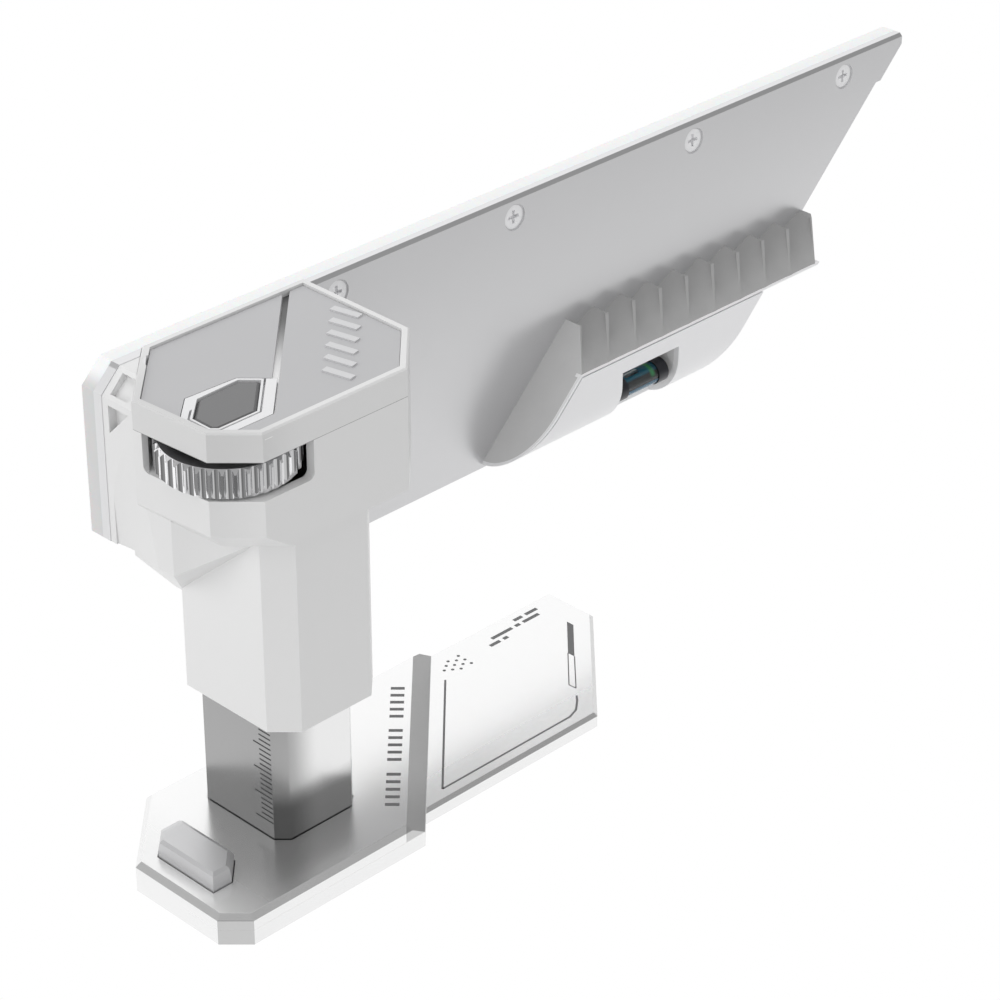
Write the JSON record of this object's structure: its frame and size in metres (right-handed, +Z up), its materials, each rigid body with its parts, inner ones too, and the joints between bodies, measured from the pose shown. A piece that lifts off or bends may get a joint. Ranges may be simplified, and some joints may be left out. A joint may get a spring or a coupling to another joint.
{
  "type": "graphics card support bracket",
  "caption": "Desktop computer bracket: flat angular foot, telescoping column with thumb wheel, and a long arm with a toothed shelf that holds up a graphics card.",
  "frame": {"origin": "on the axis of the column, on the surface that the feet rest on", "axes": "+X along the arm towards its tip, +Y towards the arm's back, +Z up along the column"},
  "size_m": [0.2171, 0.0475, 0.0892],
  "materials": {
    "painted_white": "satin",
    "gray_paint": "satin",
    "white_plastic": "satin",
    "milky_plastic": "satin",
    "gray_inlay": "matte",
    "dark_plastic": "gloss",
    "board": "matte",
    "black_rubber": "matte",
    "gray_rubber": "matte",
    "steel": "satin",
    "white_screws": "gloss",
    "satin_aluminium": "satin",
    "brass": "satin",
    "chrome": "polished",
    "glass": "clear",
    "liquid": "clear"
  },
  "bodies": {
    "stand": {"base_plate": "painted_white", "bottom_cover": "steel", "cover_screws": "steel", "base_magnets": "steel", "foot_pads": "black_rubber", "button_spring": "steel", "column": "satin_aluminium", "column_screws": "steel", "lead_nut": "brass"},
    "base_button_body": {"base_button": "gray_paint"},
    "head": {"head_housing": "painted_white", "slide_liner": "white_plastic", "bearing_plate": "steel", "bearing_screws": "steel", "wheel_pin": "steel", "cap": "painted_white", "button_bezel": "painted_white", "inlay_left": "gray_inlay", "inlay_right": "gray_inlay", "cap_screws": "steel", "release_spring": "steel", "arm_plate": "painted_white", "arm_panel": "milky_plastic", "light_board": "board", "cable_socket": "white_plastic", "arm_screws": "white_screws", "mount_screws": "steel", "shelf_pad": "gray_rubber", "shelf_lip": "white_plastic", "shelf_cover": "white_plastic", "shelf_screws": "steel", "vial_tube": "glass", "vial_liquid": "liquid", "vial_caps": "dark_plastic"},
    "wheel": {"thumb_wheel": "chrome", "wheel_gear": "brass"},
    "screw": {"lead_screw": "steel", "screw_gear": "brass"},
    "release": {"release_button": "dark_plastic"}
  },
  "joints": [
    {"name": "height_slide", "type": "slide", "parent": "stand", "child": "head", "axis": [0, 0, 1], "range_m": [-0.0232, 0.01]},
    {"name": "wheel_turn", "type": "hinge", "parent": "head", "child": "wheel", "pos_m": [-0.0098, -0.002, 0.0772], "axis": [0, 0, 1], "range_deg": [-1210, 2800]},
    {"name": "screw_turn", "type": "hinge", "parent": "head", "child": "screw", "pos_m": [0, 0, 0.0746], "axis": [0, 0, 1], "range_deg": [-2800, 1210]},
    {"name": "base_button_press", "type": "slide", "parent": "stand", "child": "base_button_body", "axis": [0, 0, -1], "range_m": [0, 0.0015], "stiffness_N_per_m": 500, "springref_m": -0.001, "deforming": ["button_spring"]},
    {"name": "release_press", "type": "slide", "parent": "head", "child": "release", "axis": [0, 0, -1], "range_m": [0, 0.001], "stiffness_N_per_m": 400, "springref_m": -0.001, "deforming": ["release_spring"]}
  ],
  "couplings": [
    {"joint": "wheel_turn", "follows": "height_slide", "rad_per_m": -2094.4},
    {"joint": "screw_turn", "follows": "height_slide", "rad_per_m": 2094.4}
  ]
}
